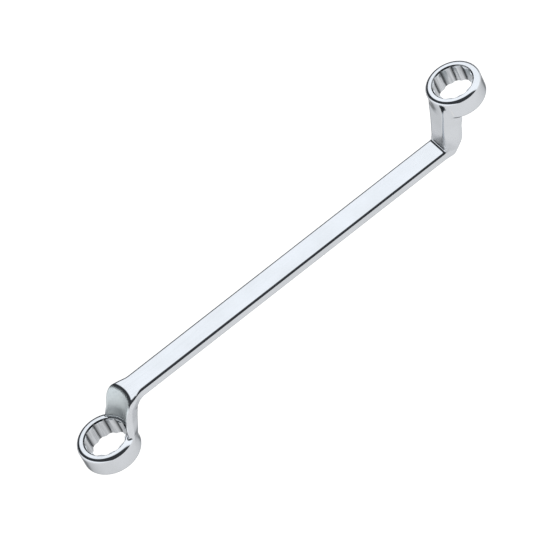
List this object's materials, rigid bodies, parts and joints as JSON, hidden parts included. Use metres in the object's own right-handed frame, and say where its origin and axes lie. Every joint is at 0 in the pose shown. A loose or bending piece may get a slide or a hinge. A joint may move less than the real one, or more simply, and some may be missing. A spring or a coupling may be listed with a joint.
{
  "type": "double-ended ring spanner",
  "caption": "Forged offset ring spanner with cranked necks and a twelve-point ring at each end, chrome plated.",
  "frame": {"origin": "middle of the tool's bounding box", "axes": "+X along the bar from the large ring to the small ring, +Z along both ring axes, out of the small ring's working face; the large ring's working face looks along -Z"},
  "size_m": [0.2342, 0.0266, 0.0526],
  "materials": {
    "polished_chrome": "polished chrome plate on forged steel"
  },
  "bodies": {
    "root": {"forged_body": "polished_chrome"}
  },
  "joints": []
}
